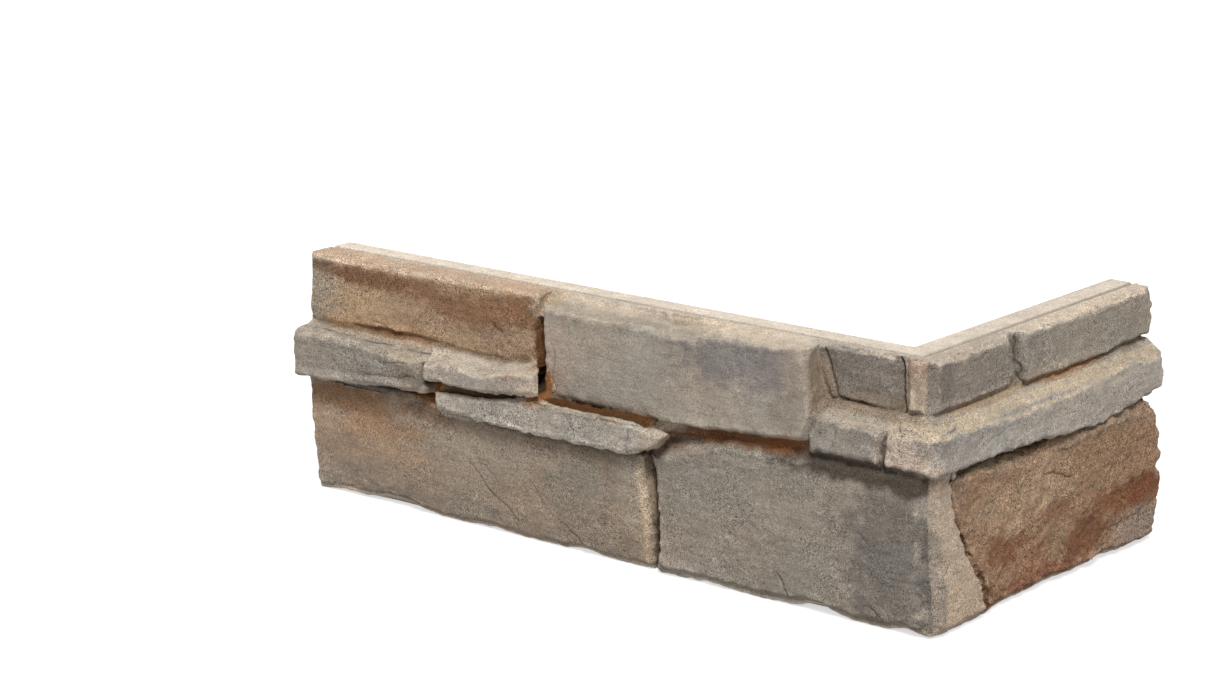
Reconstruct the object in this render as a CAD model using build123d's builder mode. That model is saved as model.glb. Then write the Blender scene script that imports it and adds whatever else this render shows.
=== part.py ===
"""Corner unit of cast stone cladding: a long and a short leg at right angles, cast in one piece.

Millimetres, +Z up. The origin is the foot of the inside corner, where the two wall faces and the
base meet. The long leg runs along -X with its wall face at y = 0, and the short leg along +Y with
its wall face at x = 0. Each stone of the face is a loft from a wide foot in the backing, through its
shoulder, to a crown that is a little smaller, so the joints between stones are V-shaped.
"""

import math
import os

from build123d import *

# Overall sizes, measured on the wall faces
height = 101.6
long_leg = 280.0
short_leg = 142.0
backing = 13.0

# The line that the casting mould leaves along the top
seam_from_wall = 10.0
seam_width = 0.8
seam_depth = 1.2

# How every stone is shaped at its edges
edge_inset = 1.8
edge_drop = 2.0
joint_gap = 4.0
slab_gap = 1.6
joint_flare = 1.6
middle_flare = 4.0
shelf_flare = 2.5
slab_flare = 0.5
ledge_flare = 3.0
foot_depth = 9.0
slab_cut = 22.0
toe_lift = 1.4
turn_inset = 3.0
turn_drop = 3.4
brown_inset = 4.4
brown_drop = 4.4
corner_inset = 2.6
corner_drop = 2.8
cove_inset = 0.4
cove_drop = 0.8

# Heights of the courses and of the gaps between them, from the top down
upper_course = 21.1
ledge_height = 14.5
ledge_side_height = 16.5
bed_gap = 4.5
upper_left_height = 29.1
middle_drop = 3.0
saddle_height = 9.0
shelf_height = 15.5
upper_slab_height = 8.8
lower_slab_height = 12.5
slab_lap = 0.7
brown_dip = 2.0

upper_low = height - upper_course
ledge_top = upper_low - bed_gap
ledge_low = ledge_top - ledge_height
ledge_side_low = ledge_top - ledge_side_height
lower_top = ledge_low - bed_gap + 1.5
brown_top = lower_top - brown_dip
upper_left_low = height - upper_left_height
shelf_top = upper_left_low - bed_gap + 0.5
shelf_low = shelf_top - shelf_height
upper_slab_top = shelf_top + 1.5
upper_slab_low = upper_slab_top - upper_slab_height
slab_top = upper_slab_low - slab_lap
slab_low = slab_top - lower_slab_height
lower_left_top = slab_low - 1

# Upright joints along the long leg, from the inside corner
upper_joint = -157.5
middle_right = -30.5
small_left = -33.0
small_right = 3.0
corner_left = 7.0
shelf_joint = -208.5
upper_slab_right = -149.0
lower_slab_left = -205.0
lower_slab_right = -89.0
block_left = -29.0
block_right = 2.2
lower_joint = -101.5

# Upright joints along the short leg, from the inside corner
top_joint = 42.6
crack_top = -11.0
crack_foot = 13.5
crack_gap = 1.6
crack_ease = 0.15

# How far each stone stands out from the wall face of its leg
upper_left_reach = 24.7
middle_reach = 25.0
saddle_reach = 22.0
small_reach = 15.5
corner_long_reach = 17.0
corner_short_reach = 18.5
top_right_reach = 19.5
shelf_reach = 36.0
upper_slab_reach = 37.0
lower_slab_reach = 33.0
block_reach = 25.0
ledge_long_reach = 25.0
ledge_short_reach = 26.3
lower_left_reach = (22.0, 26.5)
lower_right_reach = (24.4, 23.6)
return_reach = 24.0
brown_reach = (24.6, 23.4)
brown_swing = 3.6
recess_reach = 19.5
joint_bed_reach = 14.4
slab_bed_reach = 28.5

# The mortar coves run from just below a ledge's front edge up to the foot of the stones above
shelf_cove_reach = (33.8, 21.5)
ledge_cove_long = (23.6, 16.0)
ledge_cove_short = (25.0, 17.5)

long_wall = Plane(origin=(0, 0, 0), x_dir=(1, 0, 0), z_dir=(0, -1, 0))
short_wall = Plane(origin=(0, 0, 0), x_dir=(0, 1, 0), z_dir=(1, 0, 0))


def stations(start, end, count):
    """Evenly spaced places from start to end."""
    return [start + (end - start) * i / (count - 1) for i in range(count)]


def outline(left, right, low, high, low_wave, right_wave, high_wave, left_wave):
    """Anticlockwise points of a stone's outline. A wave lists how far an edge strays, end to end:
    upwards for the low and high edges, read from the left, and to the right for the two sides,
    read from below."""
    foot = zip(stations(left + left_wave[0], right + right_wave[0], len(low_wave)), low_wave)
    head = zip(stations(left + left_wave[-1], right + right_wave[-1], len(high_wave)), high_wave)
    lower = [(x, low + stray) for x, stray in foot]
    upper = [(x, high + stray) for x, stray in head]
    right_rise = stations(lower[-1][1], upper[-1][1], len(right_wave))[1:-1]
    left_rise = stations(lower[0][1], upper[0][1], len(left_wave))[1:-1]
    right_side = [(right + stray, z) for stray, z in zip(right_wave[1:-1], right_rise)]
    left_side = [(left + stray, z) for stray, z in zip(left_wave[1:-1], left_rise)]
    return lower + right_side + upper[::-1] + left_side[::-1]


def stone(wall, ends, left, right, low, high, reach, low_wave=(0, 0), right_wave=(0, 0),
          high_wave=(0, 0), left_wave=(0, 0), flare=joint_flare, edge=(edge_inset, edge_drop), toe=0,
          ease=(1, 1), spread=(1, 1), swing=0):
    """One stone on a leg's wall plane. reach is one distance, or the distances at the low and the
    high edge. ends are the limits along the leg that the stone's foot stays inside. edge is how far
    the crown is set in from the shoulder, and how far the shoulder lies behind the crown. toe is how
    much further the crown's low edge is lifted. ease is the share of the inset at the left and the
    right side, and spread that of the flare, which is none where a stone turns the corner and
    negative where an end is undercut. swing is how much further the right end stands out than the
    left."""
    reach_low, reach_high = reach if isinstance(reach, tuple) else (reach, reach)
    slope = (reach_high - reach_low) / (high - low)
    turn = swing / (right - left)
    inset, drop = edge
    at_base = reach_low - low * slope - left * turn
    with BuildPart() as body:
        foot = (foot_depth, flare, 0, 0, 0, spread)
        shoulder = (at_base - drop, 0, slope, turn, 0, (1, 1))
        crown = (at_base, -inset, slope, turn, toe, ease)
        for depth, grow, lean, yaw, lift, share in (foot, shoulder, crown):
            first = max(left - grow * share[0], ends[0])
            last = min(right + grow * share[1], ends[1])
            points = outline(first, last, max(low - grow, 0) + lift, min(high + grow, height),
                             low_wave, right_wave, high_wave, left_wave)
            normal = wall.z_dir - Vector(0, 0, lean) - wall.x_dir * yaw
            run = wall.x_dir + wall.z_dir * yaw
            with BuildSketch(Plane(origin=wall.z_dir * depth, x_dir=run, z_dir=normal)):
                with BuildLine():
                    Polyline([(x * math.hypot(1, yaw), min(z, height) * math.hypot(1, lean))
                              for x, z in points], close=True)
                make_face()
        loft(ruled=True)
    return body.part


def long_stone(left, right, low, high, reach, **shape):
    return stone(long_wall, (-long_leg, long_leg), left, right, low, high, reach, **shape)


def short_stone(left, right, low, high, reach, **shape):
    return stone(short_wall, (-short_leg, short_leg), left, right, low, high, reach, **shape)


# Upper course of the long leg
upper_left = long_stone(
    -long_leg, upper_joint - joint_gap / 2, upper_left_low, height, upper_left_reach,
    low_wave=(0, 0.6, 2.2, 1.6, 0.4, 0.4, -1), right_wave=(0, -1, -1.5, 1))
upper_middle = long_stone(
    upper_joint + joint_gap / 2, middle_right, ledge_low, height - middle_drop, middle_reach,
    low_wave=(-1.6, -1, -1.4, -1.4, -0.4, 1.4, 2.2, 4), right_wave=(0, 2, 2, 0, -1),
    high_wave=(-1, -1, -1.3, -2.5, 0.3, 0.7, 2), left_wave=(0, 1, 0.3, 0), flare=middle_flare,
    spread=(1, 0))
joint_saddle = long_stone(
    upper_joint - joint_gap, upper_joint + joint_gap, height - saddle_height, height,
    (saddle_reach, backing + 1), edge=(0.4, 0.4))
small_stone = long_stone(
    small_left, small_right, upper_low, height, small_reach,
    right_wave=(0.6, 0, -1.2, -0.5), left_wave=(6, 3.5, 1, 0))

# Shelves that stand out from the long leg
shelf = long_stone(
    -long_leg, shelf_joint - slab_gap / 2, shelf_low, shelf_top, shelf_reach,
    low_wave=(0, 0.4, 1.6, 2.8), right_wave=(0, 2, 0.5, -2), high_wave=(-0.7, 0, 0.9, 0.4, -0.8),
    flare=shelf_flare)
upper_slab = long_stone(
    shelf_joint + slab_gap / 2, upper_slab_right, upper_slab_low, upper_slab_top, upper_slab_reach,
    low_wave=(0, 0.3, 1.2, 3), high_wave=(-1.3, -0.7, -1, 2.2, 3.4), flare=shelf_flare,
    spread=(1, -slab_cut / shelf_flare))
lower_slab = long_stone(
    lower_slab_left, lower_slab_right, slab_low, slab_top, lower_slab_reach,
    low_wave=(1, 0, -0.3, 0.2, 0), right_wave=(-18, -5, 0),
    high_wave=(-3.5, -2.9, -1.1, 2.2, 0.9, 1.2, 1.2, -1.5), flare=slab_flare)

# Lower course of the long leg, whose right stone turns the corner as far as the crack
lower_left = long_stone(
    -long_leg, lower_joint - joint_gap / 2, 0, lower_left_top, lower_left_reach,
    right_wave=(0, 1.5, -1, -2.5), high_wave=(4, 4.5, 3, -1, -1, -1), toe=toe_lift)
lower_right = long_stone(
    lower_joint, return_reach - turn_drop, 0, lower_top, lower_right_reach,
    high_wave=(-8.5, -1.5, 0.5, 0.7, 1.5, 3, 3, 3), left_wave=(2, 1, 0, -2), edge=(turn_inset, turn_drop),
    toe=toe_lift, spread=(1, 0))
crack_lean = crack_foot - crack_top
crack_run = (crack_lean, 0.8 * crack_lean, 0.42 * crack_lean, 0.15 * crack_lean, 0)
corner_return = short_stone(
    turn_drop - lower_right_reach[0], crack_top - crack_gap / 2, 0, lower_top + 3, return_reach,
    right_wave=crack_run, edge=(turn_inset, turn_drop), toe=toe_lift, ease=(1, crack_ease),
    spread=(0, 1))
brown_stone = short_stone(
    crack_top + crack_gap / 2, short_leg, 0, brown_top, brown_reach,
    right_wave=(-3, -0.5, -0.2, -0.5, -2), high_wave=(3.5, 2.5, -1, -3, -1, 0, 0.5, -1),
    left_wave=crack_run, edge=(brown_inset, brown_drop), ease=(crack_ease, 1), swing=brown_swing)

# The ledge and the block beside it
block = long_stone(
    block_left, block_right, ledge_low, ledge_top, block_reach,
    right_wave=(0, 0, 0.6), left_wave=(0.3, -1.5, 2.3))
ledge_front = long_stone(
    block_right + slab_gap, ledge_short_reach - edge_drop, ledge_low, ledge_top, ledge_long_reach,
    flare=ledge_flare, spread=(0.5, 0))
ledge_side = short_stone(
    edge_drop - ledge_long_reach, short_leg, ledge_side_low, ledge_top, ledge_short_reach,
    low_wave=(2, 1.5, 1.2, 0, -1.6, -3, -0.5, 2), right_wave=(-1.5, 0, -1.5),
    high_wave=(0, 0, -1, -2, -1, 0, 1.2, -0.5), flare=ledge_flare, spread=(0, 1))

# Mortar coves over the shelves and the ledge, and mortar beds in the shallow joints
cove = dict(flare=0, edge=(cove_inset, cove_inset))
shelf_cove = long_stone(
    -long_leg, upper_joint - joint_gap, shelf_top - cove_drop, upper_left_low + 2, shelf_cove_reach,
    **cove)
ledge_turn_long = ledge_cove_long[0] - ledge_cove_long[1]
ledge_turn_short = ledge_cove_short[0] - ledge_cove_short[1]
ledge_cove_front = long_stone(
    block_left, ledge_cove_short[1], ledge_top - cove_drop, upper_low, ledge_cove_long,
    right_wave=(ledge_turn_short, 0), ease=(1, 0), **cove)
ledge_cove_side = short_stone(
    -ledge_cove_long[1], short_leg, ledge_top - cove_drop, upper_low, ledge_cove_short,
    left_wave=(-ledge_turn_long, 0), ease=(0, 1), **cove)
recess_bed = long_stone(
    lower_slab_right - joint_gap, middle_right, lower_top - joint_gap, ledge_low + joint_gap,
    recess_reach, **cove)
slab_bed = long_stone(
    lower_slab_left, upper_slab_right - joint_gap, slab_top - joint_gap, upper_slab_low + slab_lap,
    slab_bed_reach, **cove)
small_bed = long_stone(
    small_left, corner_left + 1, upper_low - 1, height, joint_bed_reach, **cove)
top_bed = short_stone(
    top_joint - joint_gap, top_joint + joint_gap, upper_low - 1, height, joint_bed_reach + 1, **cove)

# Upper course at the corner and along the short leg
corner_front = long_stone(
    corner_left, corner_short_reach - corner_drop, upper_low, height, corner_long_reach,
    edge=(corner_inset, corner_drop), spread=(1, 0))
corner_side = short_stone(
    corner_drop - corner_long_reach, top_joint - joint_gap / 2, upper_low, height, corner_short_reach,
    right_wave=(-3, 0.5, 0, -1), edge=(corner_inset, corner_drop), spread=(0, 1))
top_right = short_stone(
    top_joint + joint_gap / 2, short_leg, upper_low, height, top_right_reach,
    low_wave=(0.5, 0, 0, 1.5), right_wave=(-1.5, 0, 0, -2), left_wave=(1.5, 0, 0.5, 0.5))

stones = [
    upper_left, upper_middle, joint_saddle, small_stone, shelf, upper_slab, lower_slab, lower_left,
    lower_right, corner_return, brown_stone, block, ledge_front, ledge_side, corner_front, corner_side,
    top_right, shelf_cove, ledge_cove_front, ledge_cove_side, recess_bed,
    slab_bed, small_bed, top_bed]

with BuildPart() as cast_stone_panel:
    # The backing: one L in plan, as high as the unit
    with BuildSketch():
        with BuildLine():
            Polyline((-long_leg, 0), (0, 0), (0, short_leg), (backing, short_leg), (backing, -backing),
                     (-long_leg, -backing), close=True)
        make_face()
    extrude(amount=height)
    add(stones)
    # The mould seam along the top
    with BuildSketch(Plane.XY.offset(height)):
        with BuildLine():
            seam = Polyline((-long_leg, -seam_from_wall), (seam_from_wall, -seam_from_wall),
                            (seam_from_wall, short_leg))
            offset(seam, amount=seam_width / 2, side=Side.BOTH)
        make_face()
    extrude(amount=-seam_depth, mode=Mode.SUBTRACT)

os.makedirs("parts", exist_ok=True)
cast_stone_panel.part.label = "cast_stone_panel"
export_step(cast_stone_panel.part, "parts/cast_stone_panel.step")
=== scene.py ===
# %% [markdown]
# # A corner strip of cast stone cladding
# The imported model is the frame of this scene: one L-shaped piece of cast concrete, with its courses,
# joints and mould seam at their real size. This script gives that piece the relief and the mineral
# colours of the photograph, then sets up the camera, the light and a white floor.

# %% Imports and the frame
import math

import bmesh
import bpy
import numpy as np
from mathutils import Matrix, Vector, noise


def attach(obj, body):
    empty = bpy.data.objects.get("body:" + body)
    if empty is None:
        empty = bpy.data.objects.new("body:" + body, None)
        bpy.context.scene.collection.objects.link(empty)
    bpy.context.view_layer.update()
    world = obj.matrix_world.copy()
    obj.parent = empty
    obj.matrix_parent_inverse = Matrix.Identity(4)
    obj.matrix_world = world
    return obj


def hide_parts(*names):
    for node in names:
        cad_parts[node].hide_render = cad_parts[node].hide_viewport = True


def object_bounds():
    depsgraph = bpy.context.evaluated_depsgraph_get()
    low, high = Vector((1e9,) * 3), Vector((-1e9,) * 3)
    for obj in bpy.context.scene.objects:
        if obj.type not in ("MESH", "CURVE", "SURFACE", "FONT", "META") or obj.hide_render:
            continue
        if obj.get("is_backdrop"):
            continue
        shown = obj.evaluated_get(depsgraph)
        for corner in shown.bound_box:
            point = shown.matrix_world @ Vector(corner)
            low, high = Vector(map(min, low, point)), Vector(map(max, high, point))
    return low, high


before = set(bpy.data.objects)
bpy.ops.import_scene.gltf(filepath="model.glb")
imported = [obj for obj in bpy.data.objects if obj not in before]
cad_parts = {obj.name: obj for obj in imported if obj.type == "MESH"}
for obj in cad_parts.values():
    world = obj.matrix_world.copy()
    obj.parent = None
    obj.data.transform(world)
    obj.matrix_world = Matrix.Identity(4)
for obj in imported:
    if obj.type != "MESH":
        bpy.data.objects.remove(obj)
cad_low, cad_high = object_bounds()
cad_low_mm, cad_high_mm = np.array(cad_low) * 1000, np.array(cad_high) * 1000
scene = bpy.context.scene
print("CAD size in mm:", [round(length * 1000, 1) for length in cad_high - cad_low])

# %% [markdown]
# ## A fine skin over the cast piece
# The CAD mesh has long flat triangles, which can't take any relief. They could be subdivided, but that
# makes slivers. A voxel remesh lays an even net of small squares over the same shape instead, and
# softens its edges by about one voxel, much as a rubber mould does. The copy is merged first, because
# the remesh needs a closed surface.

# %% Copy, merge and remesh
VOXEL_MM = 0.7
SAME_POINT = 1e-6

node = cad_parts["cast_stone_panel"]
mesh = bpy.data.meshes.new("cad_copy")
bm = bmesh.new()
bm.from_mesh(node.data)
bmesh.ops.remove_doubles(bm, verts=bm.verts, dist=SAME_POINT)
bm.to_mesh(mesh)
bm.free()
piece = bpy.data.objects.new("cast_stone", mesh)
scene.collection.objects.link(piece)
remesh = piece.modifiers.new("even net", "REMESH")
remesh.mode = "VOXEL"
remesh.voxel_size = VOXEL_MM / 1000
evaluated = piece.evaluated_get(bpy.context.evaluated_depsgraph_get())
skin = bpy.data.meshes.new_from_object(evaluated)
piece.modifiers.clear()
piece.data = skin
bpy.data.meshes.remove(mesh)
skin.name = "cast_stone"
print("squares in the net:", len(skin.polygons))

# %% [markdown]
# ## Measuring on the two legs
# Every mark on the stones is placed in millimetres on its own leg: how far along from the inside
# corner, how far up from the base, and how far out from the wall. numpy works these out for all points
# of the net at once, in a moment, where a loop over the points would be slow.

# %% Points of the net, and which of them are linked
points = np.empty(len(skin.vertices) * 3, np.float32)
skin.vertices.foreach_get("co", points)
points = points.reshape(-1, 3).astype(float) * 1000
rest = points.copy()
links = np.empty(len(skin.edges) * 2, np.int32)
skin.edges.foreach_get("vertices", links)
links = links.reshape(-1, 2)
neighbours = np.bincount(links.ravel(), minlength=len(points))
print("points:", len(points), "links:", len(links))

# %% Along, out and up
LEFT_END, RIGHT_END, HEIGHT = np.round((cad_low_mm[0], cad_high_mm[1], cad_high_mm[2]), 3)

on_long = (rest[:, 0] <= 0) | (-rest[:, 1] >= rest[:, 0])
along = np.where(on_long, rest[:, 0], rest[:, 1])
out = np.where(on_long, -rest[:, 1], rest[:, 0])
up = rest[:, 2]
to_end = np.where(on_long, along - LEFT_END, RIGHT_END - along)


def on_leg(leg):
    """True for the points of the long leg, or of the short one."""
    return on_long if leg == "long" else ~on_long


print("points on each leg:", {leg: int(on_leg(leg).sum()) for leg in ("long", "short")})

# %% [markdown]
# ## Which stone is which
# Each stone is a box on its leg: left, right, low, high and how far it stands out. A point belongs to
# the box it is nearest to. The stones that turn the corner have a box on both legs. Each stone also
# says how strongly it swells, how lumpy, gritty and layered its face is in millimetres, and how strong
# its specks of sand are.

# %% The stones
STONES = {
    "upper_left": dict(boxes=[("long", LEFT_END, -159.5, 72.5, HEIGHT, 24.7)],
                       swell=0.7, lump=0.35, grit=0.12, layer=0.2, speckle=1.7),
    "upper_middle": dict(boxes=[("long", -155.5, -30.5, 62, 98.6, 25)],
                         swell=0.5, lump=0.22, grit=0.1, layer=0, speckle=0.8),
    "small_grey": dict(boxes=[("long", -33, 3, 80.5, HEIGHT, 15.5)],
                       swell=0.3, lump=0.4, grit=0.15, layer=0.1, speckle=1.4),
    "corner_block": dict(boxes=[("long", 7, 18.5, 80.5, HEIGHT, 17),
                                ("short", -17, 40.6, 80.5, HEIGHT, 18.5)],
                         swell=0.3, lump=0.22, grit=0.13, layer=0, speckle=1.4),
    "top_right": dict(boxes=[("short", 44.6, RIGHT_END, 80.5, HEIGHT, 19.5)],
                      swell=0.5, lump=0.25, grit=0.15, layer=0, speckle=1.6),
    "shelf": dict(boxes=[("long", LEFT_END, -209.3, 53, 68.5, 36)],
                  swell=0.4, lump=0.3, grit=0.15, layer=0.45, speckle=1.5),
    "upper_slab": dict(boxes=[("long", -207.7, -149, 61.2, 72, 37)],
                       swell=0.4, lump=0.3, grit=0.13, layer=0.25, speckle=1.4),
    "lower_slab": dict(boxes=[("long", -205, -89, 48, 60.5, 33)],
                       swell=0.4, lump=0.3, grit=0.13, layer=0.15, speckle=1.5),
    "block": dict(boxes=[("long", -29, 2.2, 61.5, 76, 25)],
                  swell=0.3, lump=0.35, grit=0.16, layer=0.1, speckle=1.4),
    "ledge": dict(boxes=[("long", 3.8, 26.3, 61.5, 76, 25), ("short", -25, RIGHT_END, 59.5, 76, 26.3)],
                  swell=0.5, lump=0.3, grit=0.15, layer=0.2, speckle=1.4),
    "lower_left": dict(boxes=[("long", LEFT_END, -103.5, 0, 48, 25)],
                       swell=1.0, lump=0.4, grit=0.14, layer=0.1, speckle=1.5),
    "lower_right": dict(boxes=[("long", -101.5, 24, 0, 60, 24.4), ("short", -24, 0, 0, 60, 24)],
                        swell=0.8, lump=0.35, grit=0.16, layer=0.1, speckle=1.4),
    "brown": dict(boxes=[("short", 0, RIGHT_END, 0, 55, 28)],
                  swell=1.0, lump=1.2, grit=0.5, layer=0.2, speckle=2.1),
}
print("stones:", len(STONES))

# %% Each point finds its stone
# The slanting crack beside the brown stone: its height, and how far along it lies there
CRACK_UP = (0, 14.6, 29.2, 43.9, 60)
CRACK_ALONG = (13.5, 8.6, -0.7, -7.3, -11)
UNDER_LEDGE = 58
OTHER_LEG = 500

names = list(STONES)
past_crack = np.where(on_long | (up > UNDER_LEDGE), 0, np.interp(up, CRACK_UP, CRACK_ALONG))
best = np.full(len(points), np.inf)
stone = np.zeros(len(points), int)
reach = np.zeros(len(points))
for number, name in enumerate(names):
    for leg, left, right, low, high, far in STONES[name]["boxes"]:
        place = along - past_crack if name in ("brown", "lower_right") and leg == "short" else along
        gap = np.hypot(np.maximum(np.maximum(left - place, place - right), 0),
                       np.maximum(np.maximum(low - up, up - high), 0))
        gap = np.hypot(gap, np.maximum(out - far, 0) * 2)
        gap[~on_leg(leg)] += OTHER_LEG
        nearer = gap < best
        best[nearer], stone[nearer], reach[nearer] = gap[nearer], number, far
print({name: int((stone == number).sum()) for number, name in enumerate(names)})

# %% [markdown]
# ## Relief
# The edges of the CAD stones are straight between their corner points. A cloudy sideways push makes
# them wander. The remesh has softened them, so they are drawn out crisp again, apart from stretches
# that are chipped. Then each face gets its own swells, lumps, grit and layers. The wall faces, the
# base, the ends and the strip behind the seam stay flat, as they were cast against the mould's floor or
# struck off. A Displace modifier would give all stones the same relief, so the points are moved here.

# %% Soft ramps, cloudy noise, and where relief may be
# A pair says where a soft slope starts and ends: here out from the wall, up from the base, in from an end
RELIEF_OUT, RELIEF_UP, RELIEF_IN = (10.9, 12.8), (0.3, 2.0), (0.2, 2.0)


def ramp(value, low, high):
    """0 below low, 1 above high, and a soft slope between them. With low above high it falls."""
    share = np.clip((value - low) / (high - low), 0, 1)
    return share * share * (3 - 2 * share)


def clouds(places, size, seed, octaves=3):
    """Cloudy noise from about -1 to 1, whose lumps are about size mm wide."""
    shift = Vector((seed * 12.9, seed * 7.7, seed * 4.3))
    scaled = (places / size).tolist()
    return np.array([noise.fractal(Vector(place) + shift, 1.0, 2.0, octaves) for place in scaled])


relief = ramp(out, *RELIEF_OUT) * ramp(up, *RELIEF_UP) * ramp(to_end, *RELIEF_IN)
print("points with relief:", int((relief > 0).sum()))

# %% Wandering edges
WIDE_LUMPS, WIDE_PUSH = 16, 0.55
FINE_LUMPS, FINE_PUSH = 5, 0.3

push = np.stack([clouds(rest, WIDE_LUMPS, seed, 2) for seed in (1, 2, 3)], 1) * WIDE_PUSH
push += np.stack([clouds(rest, FINE_LUMPS, seed, 2) for seed in (4, 5, 6)], 1) * FINE_PUSH
points += push * relief[:, None]
print("edges pushed by up to", round(float(np.abs(push).max()), 2), "mm")


# %% Crisp and chipped edges
def smooth(values, rounds):
    """Each point's value becomes the mean of its neighbours', several times."""
    for _ in range(rounds):
        total = np.zeros_like(values)
        np.add.at(total, links[:, 0], values[links[:, 1]])
        np.add.at(total, links[:, 1], values[links[:, 0]])
        values = total / neighbours[:, None] if values.ndim == 2 else total / neighbours
    return values


def normals():
    """Writes the points to the mesh, and reads back which way each one faces."""
    skin.vertices.foreach_set("co", (points / 1000).astype(np.float32).ravel())
    skin.update()
    facing = np.empty(len(points) * 3, np.float32)
    skin.vertex_normals.foreach_get("vector", facing)
    return facing.reshape(-1, 3).astype(float)


EVENED_OUT, EDGE_BULGE = 24, (0.12, 0.75)
CHIP_WIDE, CHIP_CLOUDS = 7, (-0.1, 0.55)
CRISP, CHIPPED = 0.6, 0.75

facing = normals()
bulge = ((points - smooth(points, EVENED_OUT)) * facing).sum(1)
edge = ramp(bulge, *EDGE_BULGE)
chips = ramp(clouds(rest, CHIP_WIDE, 7, 3), *CHIP_CLOUDS)
points += facing * (edge * (CRISP - CHIPPED * chips) * relief)[:, None]
print("points on sharp edges:", int((edge > 0.5).sum()))

# %% Swells, lumps, grit and layers
# A kind of relief is: how wide in mm, how strong, how far sunk, and the seed and octaves of its noise
KINDS = {
    "swell": (34, 0.8, 0.2, 11, 2), "lump": (8, 0.7, 0, 12, 3), "grit": (2.2, 1.4, 0, 13, 2),
    "layer": (np.array([26, 26, 1.7]), 1, 0, 14, 2)}
JOINT_FLOOR, JOINT_FULLNESS, JOINT_UP = 13, (0.62, 0.2), (97.5, 94)
MORTAR_GRIT, MORTAR_WIDE = 0.6, 1.9


def per_stone(key):
    """That number of its stone, for every point."""
    return np.array([STONES[name][key] for name in names], float)[stone]


facing = smooth(normals(), 5)
facing /= np.linalg.norm(facing, axis=1)[:, None]
depth = np.zeros(len(points))
for kind, (wide, strength, sunk, seed, octaves) in KINDS.items():
    depth += strength * per_stone(kind) * (clouds(rest, wide, seed, octaves) - sunk)
fullness = np.clip((out - JOINT_FLOOR) / (reach - JOINT_FLOOR), 0, 1.2)
joint = ramp(fullness, *JOINT_FULLNESS) * relief * ramp(up, *JOINT_UP)
depth += MORTAR_GRIT * joint * clouds(rest, MORTAR_WIDE, 15, 2)
print("relief from", round(float(depth.min()), 2), "to", round(float(depth.max()), 2), "mm")

# %% [markdown]
# ## Cracks, scars and bites
# The moulds were taken from real stones, so each face has a few marks of its own. They could be
# sculpted by hand, but a list of them can be read and changed. A crack is a line of points on its leg
# with a width and a depth, and a step lets one side of it lie lower, as where a flake has come off.
# Bites are places where the lower edge or the end has broken away.

# %% Cracks and scars
# A line is: leg, points along and up, wide, deep, step
CRACKS = [
    ("long", [(-242.4, 77.1), (-233.8, 76.1)], 0.9, 0.5, 0),
    ("long", [(-180.3, 87.2), (-176.9, 84.6)], 0.9, 0.6, 0),
    ("long", [(-149.2, 80.5), (-149.6, 69.8), (-147.3, 62.7)], 0.8, 0.3, 0),
    ("long", [(-240.3, 58.7), (-225, 59.8), (-215.3, 61.9)], 0.9, 0.5, 0.3),
    ("long", [(-229.8, 64.1), (-212.8, 67.8)], 0.9, 0.4, 0.3),
    ("long", [(-107.2, 60.5), (-106.4, 55.8), (-107.6, 48.4)], 0.9, 0.5, -0.5),
    ("long", [(-137.6, 58.1), (-133.1, 52.9)], 0.8, 0.4, 0),
    ("long", [(-191.4, 26), (-184.5, 18.2), (-171.2, 9.2)], 1.1, 0.5, 0.6),
    ("long", [(-186.3, 27.5), (-180.6, 23.1)], 0.9, 0.4, 0.4),
    ("long", [(-160.5, 23.9), (-155.5, 16.8)], 0.9, 0.3, 0.3),
    ("long", [(-144.5, 10), (-138.5, 4.3)], 1.0, 0.6, 0.4),
    ("long", [(-41.9, 10.8), (-39.9, 6.9), (-38.5, 5.6)], 1.0, 0.9, 0.3),
    ("long", [(0.2, 7.2), (3.9, 4.1)], 0.9, 0.7, 0),
    ("long", [(-96.7, 3.8), (-91.4, 1.7)], 1.2, 0.9, 0),
    ("long", [(-5.6, 33.9), (-3.3, 32)], 0.9, 0.5, 0),
    ("long", [(-25, 98.5), (-24.5, 93), (-23.8, 88), (-22.9, 82.4), (-17, 81), (-8, 80.8)], 1.2, 1.2, 0),
    ("short", [(59, 51.5), (67.2, 49.9)], 1.0, 0.9, 0.4),
    ("short", [(55.9, 44.9), (70.6, 41.1)], 1.0, 0.8, 0.4),
    ("short", [(137.8, 18.3), (119.8, 14.4), (103.1, 14.1), (96.8, 6.9), (92.7, 2.8)], 1.0, 0.2, -0.8),
    ("short", [(6.9, 67.2), (29.3, 72.3)], 0.9, 0.2, 0.15),
]
print("cracks:", len(CRACKS))

# %% Narrow joints that the net is too coarse to leave open
OPEN_JOINTS = [
    ("long", [(-210.8, 69.8), (-208.6, 64), (-206.8, 58.5)], 1.1, 2.0, 0),
    ("long", [(-152, 61.9), (-128, 61.5), (-99, 61.2)], 1.7, 4.0, 0),
    ("long", [(3.4, 76), (2.7, 70), (3.0, 61.5)], 0.9, 0.6, 0),
    ("long", [(4.0, 101), (4.8, 92), (5.6, 81)], 1.3, 1.8, 0),
    ("short", [(46, 80.6), (75, 80.2), (142, 81.4)], 1.0, 0.6, 0),
    ("short", [(-15, 80.5), (10, 80.4), (37, 80.4)], 1.0, 0.6, 0),
    ("short", [(44.3, 99), (44.2, 90), (45.5, 83), (49, 80.6)], 1.0, 0.9, 0),
    ("long", [(7.5, 80.5), (15, 80.5)], 1.0, 0.6, 0),
    ("short", [(-11, 60), (-7.3, 43.9), (-0.7, 29.2), (8.6, 14.6), (13.5, 0)], 1.2, 1.2, 0),
]
print("open joints:", len(OPEN_JOINTS))

# %% How far every point is from a line
WANDER_WIDE, LINE_WANDER = 5, 0.7
FAR_OFF = 1e3
UPWARD = 0.6

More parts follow.
